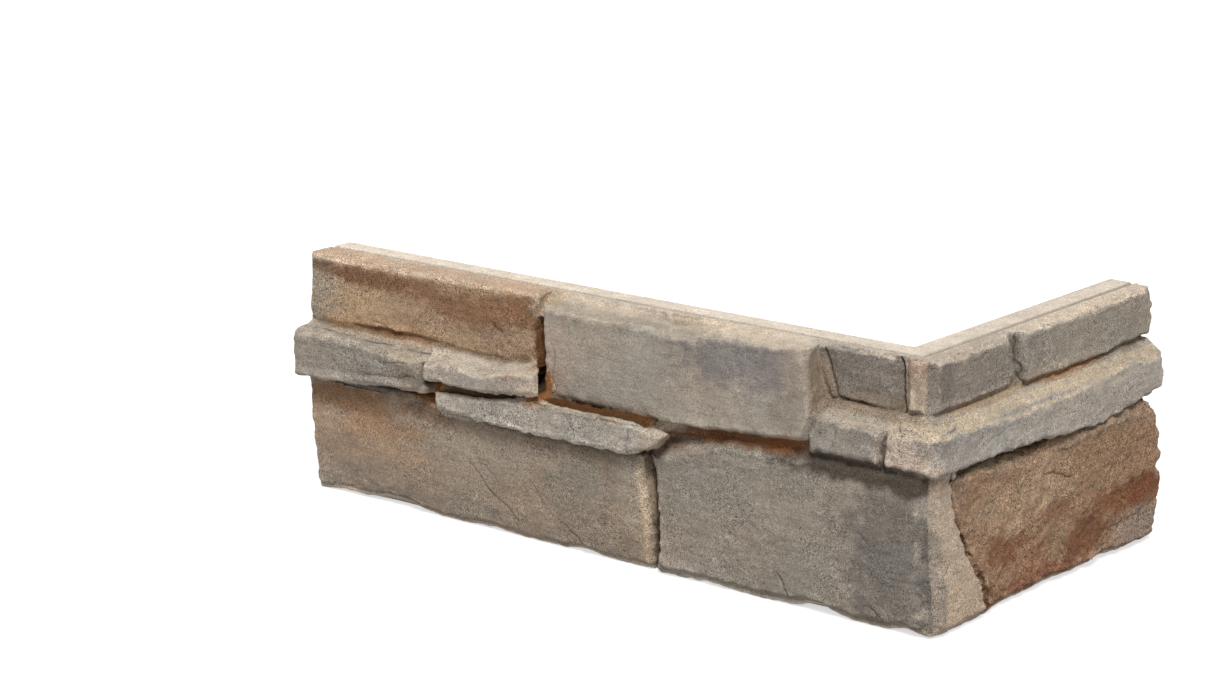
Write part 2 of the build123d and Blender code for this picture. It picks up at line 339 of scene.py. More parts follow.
wander_along, wander_up = (clouds(rest, WANDER_WIDE, seed, 2) * LINE_WANDER for seed in (21, 22))


def line_gap(leg, line, least):
    """Distance of every point from a broken line on a leg, and the side of it (positive below).
    Points whose fullness is under least lie deep in a joint, where the line doesn't reach."""
    nearest, side = np.full(len(points), FAR_OFF), np.zeros(len(points))
    for (from_along, from_up), (to_along, to_up) in zip(line, line[1:]):
        run, climb = to_along - from_along, to_up - from_up
        ahead, above = along + wander_along - from_along, up + wander_up - from_up
        share = np.clip((ahead * run + above * climb) / (run * run + climb * climb), 0, 1)
        gap = np.hypot(ahead - share * run, above - share * climb)
        across = (ahead * climb - above * run) / math.hypot(run, climb)
        closer = gap < nearest
        nearest[closer], side[closer] = gap[closer], across[closer]
    nearest[~on_leg(leg) | (fullness < least) | (facing[:, 2] > UPWARD)] = FAR_OFF
    return nearest, side


print("lines wander by up to", round(float(np.abs(wander_along).max()), 2), "mm")

# %% Carve the lines
# The side and the nearness of the lines are kept, because the shader draws their dark cores from them
ON_FACES, EVERYWHERE = 0.4, -9
STEP_DOWN, STEP_UP, STEP_SLOPE = 5, 9, (-0.3, 0.6)
CORE_REACH, LEAST_DARK = (2.8, 1.6), 0.12

crack_side = np.zeros(len(points))
crack_near = np.zeros(len(points))
lines = [(*crack, ON_FACES) for crack in CRACKS] + [(*gap, EVERYWHERE) for gap in OPEN_JOINTS]
for leg, line, wide, deep, step, least in lines:
    gap, side = line_gap(leg, line, least)
    depth -= deep * ramp(gap, wide, 0)
    lower_side, step_wide = (side, STEP_DOWN) if step > 0 else (-side, STEP_UP)
    depth -= abs(step) * ramp(lower_side, *STEP_SLOPE) * ramp(gap, step_wide, 0)
    near = ramp(gap, *CORE_REACH) * min(1, LEAST_DARK + deep / 2)
    closer = near > crack_near
    crack_side[closer], crack_near[closer] = side[closer] / wide, near[closer]
points += facing * (depth * relief)[:, None]
print("points beside cracks:", int((crack_near > 0).sum()))

# %% Bites out of the lower edge
# A bite is: leg, along, half width, height
FOOT_BITES = [
    ("long", -237, 15, 3.6), ("long", -137, 7, 1.6), ("long", -25, 10, 2.8), ("long", 13, 6, 1.6),
    ("long", -265, 8, 1.2), ("long", -185, 10, 1.0), ("long", -75, 9, 0.9), ("short", 60, 12, 1.0),
    ("short", 100, 9, 1.4), ("long", 26, 6, 1.6), ("short", -24, 6, 1.4)]
EVEN_LIFT, RAGGED_LIFT, RAGGED_WIDE = 0.35, 0.5, 6
BEHIND_FACE, AT_FACE = 11, 4
FOOT_UP, FOOT_IN = (11, 0), (0, 4)

front = ramp(out, reach - BEHIND_FACE, reach - AT_FACE)
flat_plan = np.array([1, 1, 0])
lift = EVEN_LIFT + RAGGED_LIFT * clouds(rest * flat_plan, RAGGED_WIDE, 23, 3)
for leg, middle, wide, high in FOOT_BITES:
    lift += np.where(on_leg(leg), high * np.exp(-((along - middle) / wide) ** 2), 0)
points[:, 2] += np.maximum(lift, 0) * ramp(up, *FOOT_UP) * front * ramp(to_end, *FOOT_IN)
print("lower edge lifted by up to", round(float(lift.max()), 1), "mm")

# %% Bites out of the brown stone's end
# A bite is: up, half height, depth
END_BITES = [(55, 7, 6.5), (31, 2.5, 3.2), (8, 9, 2.0)]
BITE_OUT, BITE_ALONG = (14, 22), (126, 141)

inset = np.zeros(len(points))
for middle, tall, far in END_BITES:
    inset += far * np.exp(-((up - middle) / tall) ** 2)
inset *= (1 + 0.5 * clouds(rest, RAGGED_WIDE, 24, 2)) * (~on_long & (up < UNDER_LEDGE))
inset *= ramp(out, *BITE_OUT) * ramp(along, *BITE_ALONG)
points[:, 1] -= inset
print("end set in by up to", round(float(inset.max()), 1), "mm")

# %% [markdown]
# ## The seam along the top
# The mould leaves a thin line along the top of both legs, 10 mm from the wall. A boolean cut could make
# it, but it is thinner than the net. So it is pressed in a little here, and it goes into the two crack
# attributes, from which the shader draws its dark core.

# %% Seam
SEAM_OUT, SEAM_DEEP, SEAM_SIDES = 10.0, 0.9, (1.2, 0.2)
SEAM_CORE, SEAM_DARK, TOP_SKIN = 2.0, 0.9, 0.6

seam = np.where(up > HEIGHT - TOP_SKIN, ramp(np.abs(out - SEAM_OUT), *SEAM_SIDES), 0)
points[:, 2] -= SEAM_DEEP * seam
crack_side = np.where(seam > 0, (out - SEAM_OUT) / SEAM_CORE, crack_side)
crack_near = np.where(seam > 0, SEAM_DARK, crack_near)
print("points on the seam:", int((seam > 0).sum()))

# %% [markdown]
# ## Fits to single stones
# The CAD stones have straight edges between a few points, and the real ones sag, lift or turn in by a
# few millimetres. A lattice could bend them, but each fit is small and local. So it takes one stone, or
# a part of it, and moves it by soft ramps, and the net never tears. The long slab also dips behind its
# front edge, where a brown gap shows under the stone above. The fits come after the cracks, whose
# places are measured on the CAD shape.

# %% The lower slab: a dip behind its edge, and a drawn-in end
DIP, DIP_OUT, DIP_RIGHT, DIP_TILT = 0.8, (31.6, 30.4), (-96, -101), (0.5, 0.8)
GAP_LEFT, GAP_FOOT, GAP_TOP = (-154, -150), (59, 59.6), (63, 62.4)
END_IN, END_DOWN, END_ALONG, END_OUT = 6.0, 4.0, (-106, -92), (31, 20)


def belongs_to(*wanted):
    """True for the points of the stones with these names."""
    return np.isin(stone, [names.index(name) for name in wanted])


on_slab = belongs_to("lower_slab")
behind_edge = ramp(out, *DIP_OUT) * ramp(along, *DIP_RIGHT)
trough = on_slab * ramp(facing[:, 2], *DIP_TILT) * behind_edge
points[:, 2] -= DIP * trough
# The gap by the left corner of the stone above, which gets painted shade further down
slab_gap_shade = on_long * ramp(along, *GAP_LEFT) * ramp(up, *GAP_FOOT) * ramp(up, *GAP_TOP) * behind_edge
slab_end = on_slab * ramp(along, *END_ALONG) * ramp(out, *END_OUT)
points[:, 0] -= END_IN * slab_end
points[:, 2] -= END_DOWN * slab_end
print("points in the dip:", int((trough > 0.5).sum()))

# %% Corners of the lower right block and the small grey stone
LOW_DOWN, LOW_LEFT, LOW_RIGHT, LOW_UP = 3.0, (-104, -96), (-68, -84), (42, 55)
GREY_MOVE, GREY_LEFT, GREY_RIGHT, GREY_UP, GREY_FACE = 3.4, (-33, -26), (-10, -24), (84, 99), 17

low_corner = belongs_to("lower_right") * on_long * ramp(along, *LOW_LEFT) * ramp(along, *LOW_RIGHT)
points[:, 2] -= LOW_DOWN * low_corner * ramp(up, *LOW_UP)
small_corner = on_long * ramp(along, *GREY_LEFT) * ramp(along, *GREY_RIGHT) * ramp(up, *GREY_UP)
small_corner = small_corner * (out < GREY_FACE)
points[:, 0] -= GREY_MOVE * small_corner * relief
print("points moved:", int((low_corner + small_corner > 0).sum()))

# %% The shelf's left end
RISE, RISE_UP, RISE_OUT = 2.8, (60, 65), (25, 33)
SAG, SAG_UP = 1.4, (57, 54)
SHELF_LEFT = (-212, -268)

on_shelf = belongs_to("shelf")
bend = RISE * ramp(up, *RISE_UP) * ramp(out, *RISE_OUT) - SAG * ramp(up, *SAG_UP)
points[:, 2] += on_shelf * ramp(along, *SHELF_LEFT) * bend
print("points on the shelf:", int(on_shelf.sum()))

# %% The line of a layer on the shelf's top
LAYER_OUT, LAYER_DEEP, LAYER_SIDES, LAYER_LEFT = 28.5, 0.5, (1.5, 0.3), -274
LAYER_WANDER, LAYER_TILT = 0.6, (0.45, 0.7)
LAYER_CORE, LAYER_DARK, BREAKS_WIDE, BREAKS = 1.6, 0.8, 18, (-0.5, 0.1)

from_layer = out - LAYER_OUT - LAYER_WANDER * wander_along
layer_line = on_shelf * ramp(facing[:, 2], *LAYER_TILT) * (along > LAYER_LEFT)
layer_line = layer_line * ramp(np.abs(from_layer), *LAYER_SIDES)
points[:, 2] -= LAYER_DEEP * layer_line
layer_dark = LAYER_DARK * ramp(clouds(rest, BREAKS_WIDE, 25, 2), *BREAKS)
crack_side = np.where(layer_line > 0, from_layer / LAYER_CORE, crack_side)
crack_near = np.where(layer_line > 0, layer_dark, crack_near)
print("points on the layer's line:", int((layer_line > 0).sum()))

# %% The foot of the corner, and the brown stone's top
CORNER_PUSH, CORNER_UP, CORNER_OUT = 3.4, (46, 2), (14, 19)
CORNER_LONG, CORNER_SHORT = (6, 23), (30, 8)
TOP_RISE, TOP_UP, TOP_OUT = 1.0, (38, 54), (14, 16)
RIGHT_RISE, RIGHT_ALONG = 2.2, (40, 75)

to_corner = np.where(on_long, ramp(along, *CORNER_LONG), ramp(along, *CORNER_SHORT))
foot = ramp(up, *CORNER_UP) * to_corner * ramp(out, *CORNER_OUT)
points[:, 0] += CORNER_PUSH * foot
brown_top = belongs_to("brown") * ramp(up, *TOP_UP) * ramp(out, *TOP_OUT)
points[:, 2] += (TOP_RISE + RIGHT_RISE * ramp(along, *RIGHT_ALONG)) * brown_top
print("points moved:", int((foot + brown_top > 0).sum()))

# %% [markdown]
# ## Inside the part's own box
# The dressed piece must never be larger than the part. Points that the relief has carried past the
# CAD's box are put back on its sides, where the flat base, ends and wall faces already lie.

# %% Keep to the size
points = np.clip(points, cad_low_mm, cad_high_mm)
normals()
print("size in mm:", np.ptp(points, axis=0).round(2))

# %% [markdown]
# ## Mineral colour
# The concrete is cream all through. Iron-oxide washes are put on the stones by hand: a base colour for
# each stone, with patches that fade into one another. Painting a picture for it would need a UV map, so
# each patch here is a soft ellipse on its leg with a cloudy border. The joints take a brown stain, and
# the upper edges and corners are worn back to cream. Shade is painted into the colour too: in the
# hollows, in gaps under overhanging stones and in bands under the ledges. A few deep gaps and one lit
# edge are painted lighter, as painted light. All of it goes into one colour attribute, so that it stays
# with the mesh.

# %% Cream concrete, and ways to lay colour on it
CREAM = (214, 199, 181)
PATCH_BORDER = (1.2, 0.6)
MOTTLE_WIDE, FINE_WIDE, BROAD_WIDE = 11, 4, 30


def linear(colour):
    """A colour picked as 0 to 255 on screen, as the shader's linear values."""
    share = np.array(colour, float) / 255
    return np.where(share <= 0.04045, share / 12.92, ((share + 0.055) / 1.055) ** 2.4)


def tint(colour, amount):
    """Lays a colour over the pigment, as strongly as amount says at each point."""
    amount = np.clip(amount, 0, 1)[:, None]
    pigment[:] = pigment * (1 - amount) + linear(colour) * amount


def patch(leg, middle, high, wide, tall, border):
    """1 in an ellipse on a leg, 0 outside it, with a border that a noise makes cloudy."""
    gap = np.hypot((along - middle) / wide, (up - high) / tall) + border
    return on_leg(leg) * ramp(gap, *PATCH_BORDER)


mottle = clouds(rest, MOTTLE_WIDE, 31, 4)
fine_mottle = clouds(rest, FINE_WIDE, 32, 3)
broad_mottle = clouds(rest, BROAD_WIDE, 33, 3)
pigment = np.tile(linear(CREAM), (len(points), 1))
print("cream in linear values:", linear(CREAM).round(3))

# %% Base colours, washes, and painted shade and a painted highlight
# A wash, or a patch of painted shade or highlight, is: leg, along, up, half width, half height, colour,
# strength
BASE = {
    "upper_left": (160, 136, 113), "upper_middle": (158, 148, 136), "small_grey": (130, 122, 113),
    "corner_block": (141, 132, 122), "top_right": (155, 146, 134), "shelf": (148, 139, 128),
    "upper_slab": (162, 151, 140), "lower_slab": (158, 150, 140), "block": (142, 134, 124),
    "ledge": (162, 153, 143), "lower_left": (153, 138, 123), "lower_right": (147, 138, 126),
    "brown": (149, 125, 105),
}
WASHES_AND_PAINTED_SHADING = {
    "upper_left": [
        ("long", -277, 88, 18, 30, (154, 142, 127), 0.9), ("long", -250, 84, 20, 11, (172, 149, 123), 0.8),
        ("long", -250, 96, 34, 5, (116, 86, 65), 0.9), ("long", -228, 95, 22, 5, (134, 102, 79), 0.7),
        ("long", -186, 92, 32, 8, (134, 101, 77), 0.9),
        ("long", -167, 95, 12, 10, (130, 96, 71), 0.8), ("long", -238, 75, 34, 4, (186, 153, 121), 0.8),
        ("long", -196, 76, 26, 4, (174, 149, 120), 0.7), ("long", -172, 79, 14, 5, (152, 128, 108), 0.6),
        ("long", -212, 102, 58, 4, (187, 160, 136), 0.85)],
    "upper_middle": [
        ("long", -153, 82, 14, 18, (172, 154, 139), 0.8), ("long", -130, 82, 22, 10, (168, 156, 143), 0.5),
        ("long", -62, 91, 30, 13, (136, 129, 125), 0.9), ("long", -138, 96, 24, 5, (149, 138, 127), 0.6),
        ("long", -35, 89, 6, 14, (161, 149, 136), 0.8), ("long", -38, 75, 9, 8, (142, 133, 121), 0.7),
        ("long", -88, 64, 34, 4, (172, 160, 146), 0.7), ("long", -38, 63, 9, 4, (163, 140, 122), 0.7)],
    "small_grey": [
        ("long", -10, 82, 22, 4, (148, 134, 118), 0.8), ("long", -15, 102, 22, 2, (162, 155, 147), 0.7)],
    "corner_block": [
        ("long", 11, 88, 14, 18, (178, 161, 140), 0.95), ("long", 14, 102, 10, 4, (128, 116, 102), 0.8),
        ("long", 13, 92, 4, 9, (158, 140, 126), 0.5), ("short", -13, 94, 9, 12, (127, 119, 110), 0.9),
        ("short", 12, 82, 40, 3, (165, 152, 139), 0.8), ("short", 30, 101, 14, 3, (158, 147, 133), 0.7)],
    "top_right": [
        ("short", 45, 93, 12, 9, (145, 137, 127), 0.8), ("short", 80, 102, 40, 3, (181, 173, 162), 0.8),
        ("short", 50, 83, 14, 4, (158, 142, 126), 0.7), ("short", 130, 90, 14, 8, (148, 138, 126), 0.6),
        ("short", 90, 83, 50, 3, (164, 153, 138), 0.6)],
    "shelf": [
        ("long", -213, 64, 9, 7, (122, 113, 102), 0.8), ("long", -245, 54, 44, 3.5, (168, 158, 147), 0.8)],
    "upper_slab": [
        ("long", -153, 66, 7, 6, (199, 181, 161), 0.7), ("long", -166, 72, 16, 2.5, (168, 147, 126), 0.7),
        ("long", -160, 73, 7, 3, (178, 142, 118), 0.5)],
    "lower_slab": [
        ("long", -199, 54, 14, 9, (171, 163, 151), 0.7), ("long", -180, 55, 10, 6, (154, 146, 137), 0.6),
        ("long", -140, 48, 70, 3, (194, 184, 173), 0.7), ("long", -95, 55, 8, 8, (176, 160, 141), 0.9),
        ("long", -128, 61.5, 34, 2.5, (132, 119, 104), 0.8),
        ("long", -132, 56, 14, 4, (150, 143, 133), 0.6)],
    "block": [
        ("long", -27, 73, 6, 5, (128, 119, 111), 0.8), ("long", -6, 72, 8, 4, (130, 122, 115), 0.8),
        ("long", 1, 69, 3, 9, (153, 140, 127), 0.8), ("long", -16, 64, 14, 4, (152, 143, 133), 0.6)],
    "ledge": [
        ("long", 12, 68, 18, 14, (178, 162, 147), 0.95), ("long", 23, 73, 6, 5, (145, 135, 125), 0.8),
        ("long", 8, 63, 8, 4, (172, 150, 136), 0.6), ("short", -22, 73, 16, 4, (140, 133, 125), 0.9),
        ("short", 15, 73, 30, 3, (151, 144, 136), 0.8), ("short", -25, 62, 7, 5, (146, 128, 115), 0.8),
        ("short", 112, 64, 24, 5, (155, 146, 137), 0.6), ("short", 104, 73, 20, 3, (172, 162, 149), 0.7),
        ("short", 30, 64, 40, 4, (171, 162, 152), 0.6)],
    "lower_left": [
        ("long", -256, 42, 34, 7, (147, 116, 89), 0.9), ("long", -269, 33, 16, 6, (178, 154, 131), 0.8),
        ("long", -247, 33, 14, 6, (174, 142, 115), 0.8), ("long", -228, 35, 15, 6, (159, 132, 108), 0.7),
        ("long", -248, 24, 34, 6, (166, 143, 122), 0.7), ("long", -212, 44, 12, 5, (126, 105, 89), 0.85),
        ("long", -186, 33, 32, 9, (164, 151, 136), 0.85), ("long", -141, 28, 18, 13, (146, 137, 125), 0.8),
        ("long", -140, 45, 40, 4, (136, 120, 104), 0.7), ("long", -110, 30, 9, 18, (164, 153, 139), 0.9),
        # Painted highlight: the lit right edge of this stone, beside the dark joint
        ("long", -105, 28, 3, 24, (190, 171, 147), 0.8),
        ("long", -200, 5, 90, 7, (142, 131, 120), 0.7), ("long", -236, 4, 16, 6, (132, 119, 110), 0.7),
        ("long", -273, 5, 11, 7, (149, 140, 129), 0.8), ("long", -130, 10, 28, 8, (142, 130, 117), 0.6)],
    "lower_right": [
        ("long", -90, 54, 14, 5, (154, 138, 121), 0.7), ("long", -88, 4, 18, 5, (161, 152, 141), 0.8),
        ("long", -40, 34, 14, 9, (156, 147, 132), 0.7), ("long", -70, 22, 20, 10, (153, 142, 128), 0.5),
        ("long", 6, 30, 18, 32, (121, 114, 106), 0.9), ("long", 24, 20, 7, 30, (103, 97, 90), 0.9),
        # The first patch on the next line is painted shade: the dark band under the ledge
        ("long", -8, 58, 40, 5, (86, 77, 68), 0.85), ("short", -8, 26, 22, 40, (188, 168, 147), 1.0),
        ("short", -21, 20, 6, 26, (147, 135, 123), 0.9), ("short", -25, 10, 3, 34, (110, 103, 97), 0.9),
        ("short", -16, 56, 9, 4, (168, 145, 127), 0.7)],
    "brown": [
        ("short", -8, 54, 10, 6, (132, 114, 99), 0.8), ("short", 45, 40, 46, 12, (163, 143, 123), 0.9),
        ("short", 78, 54, 20, 5, (129, 111, 96), 0.85), ("short", 110, 53, 16, 5, (138, 123, 108), 0.7),
        ("short", 132, 54, 9, 6, (152, 134, 120), 0.7), ("short", 95, 42, 24, 8, (147, 124, 102), 0.7),
        ("short", 124, 24, 22, 7, (117, 78, 56), 0.95), ("short", 100, 24, 16, 6, (130, 94, 70), 0.85),
        ("short", 28, 22, 18, 7, (132, 97, 77), 0.9), ("short", 84, 14, 16, 9, (120, 86, 65), 0.9),
        ("short", 10, 6, 12, 9, (122, 92, 70), 0.85), ("short", 52, 5, 30, 6, (134, 96, 76), 0.85),
        ("short", 48, 14, 14, 6, (153, 119, 97), 0.6), ("short", 62, 30, 12, 4, (134, 100, 78), 0.7),
        ("short", 34, 30, 8, 4, (176, 156, 134), 0.7), ("short", 70, 20, 7, 3, (168, 146, 124), 0.6),
        ("short", 122, 7, 20, 9, (148, 134, 124), 0.95)],
}
print("washes:", sum(len(washes) for washes in WASHES_AND_PAINTED_SHADING.values()))

# %% Lay them on the stones
# A last thin glaze goes over a whole stone, as a factor on red, green and blue
GLAZE = {
    "brown": (1.04, 0.95, 0.86), "ledge": (1.13, 1.13, 1.13), "block": (1.16, 1.19, 1.21),
    "lower_slab": (1.16, 1.16, 1.16), "upper_left": (1.02, 1, 0.97), "lower_left": (1.01, 0.99, 0.96),
    "upper_middle": (1.05, 1.05, 1.04)}
NO_GLAZE = (1, 1, 1)
STAINED_FULLNESS = (0.12, 0.45)

stained = relief * ramp(fullness, *STAINED_FULLNESS)
wash_border = 0.42 * mottle + 0.3 * fine_mottle
for name in names:
    here = belongs_to(name) * stained
    tint(BASE[name], here)
    for *place, colour, strength in WASHES_AND_PAINTED_SHADING[name]:
        tint(colour, here * strength * patch(*place, wash_border))
    pigment *= 1 + (np.array(GLAZE.get(name, NO_GLAZE)) - 1) * here[:, None]
print("mean colour of the stones:", pigment[stained > 0.5].mean(0).round(3))

# %% Dust on the ledges
DUST, LEDGE_DUST, SLAB_DUST = (184, 171, 153), (206, 184, 153), (206, 192, 172)
DUST_TILT = (0.5, 0.85)

facing = normals()
on_top = ramp(facing[:, 2], *DUST_TILT) * relief
little_dust = np.where(belongs_to("brown", "lower_right"), 0.3, 1)
tint(DUST, on_top * (0.6 + 0.3 * fine_mottle) * little_dust)
tint(LEDGE_DUST, on_top * belongs_to("ledge") * (0.5 + 0.3 * fine_mottle))
tint(SLAB_DUST, on_top * belongs_to("upper_slab") * 0.6)
print("points on ledges:", int((on_top > 0.5).sum()))

# %% Brown and pale joints, and painted shade in the hollows
PALE_MORTAR, PALE_JOINT_SHADE = (158, 143, 124), (112, 96, 79)
BROWN_MORTAR, DARK_MORTAR, BROWN_STAIN_AND_SHADE = (118, 86, 57), (78, 57, 40), (92, 70, 50)
GAP_BROWN_AND_SHADE = (88, 58, 29)
HOLLOW_DIP, PALE_ALONG, PALE_UP = (0.05, 0.5), (-44, -36), (76, 79)

# Concave places get a brown stain with painted shade, and painted shade alone where the joints are pale
hollow_stain_and_shade = ramp(-smooth(bulge, 4), *HOLLOW_DIP) * relief
pale_joint = np.where(on_long, ramp(along, *PALE_ALONG), 1) * ramp(up, *PALE_UP)
old_joint = joint * (1 - pale_joint)
tint(PALE_MORTAR, joint * pale_joint * 0.9)
tint(BROWN_MORTAR, old_joint * (0.8 + 0.25 * mottle))
tint(DARK_MORTAR, old_joint * ramp(fine_mottle + 0.4 * mottle, -0.3, 0.6) * 0.85)
tint(BROWN_STAIN_AND_SHADE, hollow_stain_and_shade * 0.55 * (1 - pale_joint))
tint(PALE_JOINT_SHADE, hollow_stain_and_shade * 0.45 * pale_joint)
# Dark brown in the slab's dip and in that gap: the joint's brown, darkened further as painted shade of the
# gap under the stone above
tint(GAP_BROWN_AND_SHADE, np.maximum(trough, slab_gap_shade))
print("points in brown joints:", int((old_joint > 0.5).sum()))

# %% The top strip and the worn edges
TOP_CREAM, BACK_CREAM = (213, 196, 176), (228, 214, 197)
TOP_TAN, TOP_GREY = (192, 163, 137), (180, 169, 156)
STRIP_UP, STRIP_TILT, WORN_FULLNESS = (97.5, 100.5), (0.45, 0.8), (0.5, 0.9)

strip = ramp(up, *STRIP_UP) * ramp(facing[:, 2], *STRIP_TILT) * relief
tint(TOP_CREAM, strip * (0.9 + 0.2 * fine_mottle))
tint(TOP_TAN, strip * belongs_to("upper_left") * 0.75)
tint(TOP_GREY, strip * belongs_to("small_grey", "corner_block") * 0.7)
tint(BACK_CREAM, (up > HEIGHT - 0.4) * ramp(out, SEAM_OUT, SEAM_OUT - 0.5))
worn = edge * relief * ramp(fullness, *WORN_FULLNESS)
tint(CREAM, worn * ramp(fine_mottle + 0.5 * broad_mottle, -0.3, 0.6) * 0.32)
print("points on worn edges:", int((worn > 0.5).sum()))

# %% Local stains, painted shade and painted light
# An entry is: leg, along, up, half width, half height, nearest and farthest out, colour, strength
STAINS_AND_PAINTED_SHADING = [
    ("long", -62, 61.5, 34, 4.5, 13, 23.5, (112, 74, 43), 0.9),
    ("long", -40, 61.5, 14, 4, 13, 23.5, (146, 92, 48), 0.55),
    ("long", -157.5, 80, 4.5, 17, 13, 23, (122, 83, 51), 0.95),
    ("long", -157.5, 97, 6, 7, 13, 24, (190, 170, 146), 0.9),
    # Painted light: the stain in this deep gap is made much lighter to make up for its shade
    ("long", -154, 66, 5, 9, 13, 33, (158, 106, 60), 0.9),
    # Painted shade: the soft brown shade in the recess under the upper left stone
    ("long", -232, 73.5, 16, 3, 13, 25, (120, 86, 58), 0.7),
    ("long", -100.5, 27, 2.2, 34, 13, 22, (58, 42, 28), 0.95),
    # Painted shade: the dark band under the ledge on the long leg
    ("long", -5, 59, 38, 5.5, 13, 27, (82, 73, 64), 0.9),
    # Painted shade under the upper slab's overhang, on the joint's brown
    ("long", -183, 61, 30, 3.5, 13, 31, (88, 66, 46), 0.9),
    # Painted light: the orange stain in this deep gap is made much lighter to make up for its shade
    ("long", -212, 55.5, 13, 6.5, 13, 29, (206, 150, 92), 0.95),
    # Painted shade: the dark band under the ledge on the short leg
    ("short", 60, 57.5, 90, 2.6, 13, 24.5, (112, 94, 77), 0.8),
    # Painted light: the brown stone's top under the ledge is made lighter to make up for its shade
    ("short", 28, 57, 26, 4, 13, 27, (150, 130, 102), 0.8),
    ("short", 80, 80.4, 30, 1.6, 13, 21, (160, 116, 72), 0.7),
    ("short", 20, 80.2, 30, 1.4, 13, 20, (176, 146, 108), 0.5),
    ("long", -29, 87, 6, 13, 13, 24, (146, 129, 110), 0.85),
    ("long", -12, 79.5, 26, 2.6, 13, 19, (138, 121, 103), 0.7),
    ("long", 13, 99, 8, 4, 13, 22, (176, 140, 118), 0.35),
]
for *place, near, far, colour, strength in STAINS_AND_PAINTED_SHADING:
    inside = ramp(out, far + 0.8, far - 0.8) * ramp(out, near - 1, near)
    tint(colour, strength * inside * relief * patch(*place, 0.2 * fine_mottle))
print("stains:", len(STAINS_AND_PAINTED_SHADING))

# %% Mottle, and the colour goes onto the mesh
LIGHT_DARK, FINE_LIGHT_DARK, WARM_COOL = 0.09, 0.06, 0.04

pigment *= (1 + LIGHT_DARK * mottle + FINE_LIGHT_DARK * fine_mottle)[:, None]
warmth = WARM_COOL * broad_mottle
pigment *= np.stack([1 + warmth, np.ones(len(points)), 1 - warmth], 1)
pigment = np.clip(pigment, 0.01, 0.9)
colour_layer = skin.attributes.new("pigment", "FLOAT_COLOR", "POINT")
colour_layer.data.foreach_set("color", np.c_[pigment, np.ones(len(points))].astype(np.float32).ravel())
speckle = per_stone("speckle") * (0.5 + 0.5 * relief)
for name, values in (("crack_side", crack_side), ("crack_near", crack_near), ("speckle", speckle)):
    number_layer = skin.attributes.new(name, "FLOAT", "POINT")
    number_layer.data.foreach_set("value", values.astype(np.float32))
print("mean colour:", pigment.mean(0).round(3))

# %% [markdown]
# ## Fewer faces where it is flat
# The wall faces, the base and the ends have tens of thousands of squares that carry no relief. They
# could be dissolved by hand, plane by plane. The Decimate modifier merges points wherever that changes
# the shape least, so it empties those planes first and leaves the fine net on the stones. The
# attributes stay with the points that are left. It may put a point a hundredth of a millimetre outside
# the CAD's box, so the points are held to the box again. The two cut ends are bare concrete, so their
# points get its plain cream once more.

# %% Thin the plain stretches
TRIANGLES = 190000

bm = bmesh.new()
bm.from_mesh(skin)
bmesh.ops.triangulate(bm, faces=bm.faces[:])
bm.to_mesh(skin)
bm.free()
thin = piece.modifiers.new("thin", "DECIMATE")
thin.ratio = min(1, TRIANGLES / len(skin.polygons))
thinned = bpy.data.meshes.new_from_object(piece.evaluated_get(bpy.context.evaluated_depsgraph_get()))
piece.modifiers.clear()
piece.data = thinned
print("triangles:", len(skin.polygons), "thinned to", len(thinned.polygons))
bpy.data.meshes.remove(skin)
skin = thinned
skin.name = "cast_stone"
skin.shade_smooth()

# %% Hold the points to the box
places = np.empty(len(skin.vertices) * 3, np.float32)
skin.vertices.foreach_get("co", places)
places = np.clip(places.reshape(-1, 3), np.array(cad_low), np.array(cad_high))
skin.vertices.foreach_set("co", places.astype(np.float32).ravel())
skin.update()
print("points left:", len(places))

# %% Plain colour on the two cut ends
NEAR_END = 3e-5

at_end = (places[:, 0] < cad_low[0] + NEAR_END) | (places[:, 1] > cad_high[1] - NEAR_END)
colours = np.empty(len(places) * 4, np.float32)
skin.attributes["pigment"].data.foreach_get("color", colours)
colours = colours.reshape(-1, 4)
colours[at_end, :3] = linear(CREAM)
skin.attributes["pigment"].data.foreach_set("color", colours.ravel())
near = np.empty(len(places), np.float32)
skin.attributes["crack_near"].data.foreach_get("value", near)
near[at_end] = 0
skin.attributes["crack_near"].data.foreach_set("value", near)
print("points on the ends:", int(at_end.sum()))

# %% [markdown]
# ## Crisp borders of the flat sides
# The ends, the base and the wall faces now have large triangles. Smooth shading would bend the light
# over them where they meet the stones, and flat shading would show every facet of the stones. So only
# the edges between a flat side and a face that turns away from it are marked as sharp. The count of
# open edges shows that the piece is still closed all round.

# %% Sharp borders, and closed all round
SQUARE_ON, TURNS = 0.9999, math.radians(18)

bm = bmesh.new()
bm.from_mesh(skin)
flat = {face.index for face in bm.faces if max(abs(part) for part in face.normal) > SQUARE_ON}
for line in bm.edges:
    beside_flat = any(face.index in flat for face in line.link_faces)
    line.smooth = not (beside_flat and line.calc_face_angle(0) > TURNS)
bm.to_mesh(skin)
print("sharp edges:", sum(not line.smooth for line in bm.edges))
print("open edges:", sum(not line.is_manifold for line in bm.edges))
print("volume in litres:", round(bm.calc_volume() * 1000, 4))
bm.free()

# %% [markdown]
# ## The cast stone material
# The colour attribute carries the patches. Grain finer than the net is made in the shader, on Object
# coordinates: sandy specks, soft blotches, faint layers and a few dark pores, and a bump for the sand
# of the mould. How strong the specks are is a number on the mesh, as the rough brown stone shows far
# more of them than the smooth middle one. Raw concrete is matt, so there is hardly any shine.

# %% Matt concrete, and what it reads from the mesh
ROUGHNESS, SHINE = 0.92, 0.2

cast_stone = bpy.data.materials.new("cast stone")
cast_stone.use_nodes = True
nodes, wires = cast_stone.node_tree.nodes, cast_stone.node_tree.links
principled = nodes["Principled BSDF"]
principled.inputs["Roughness"].default_value = ROUGHNESS
principled.inputs["Specular IOR Level"].default_value = SHINE
where = nodes.new("ShaderNodeTexCoord")


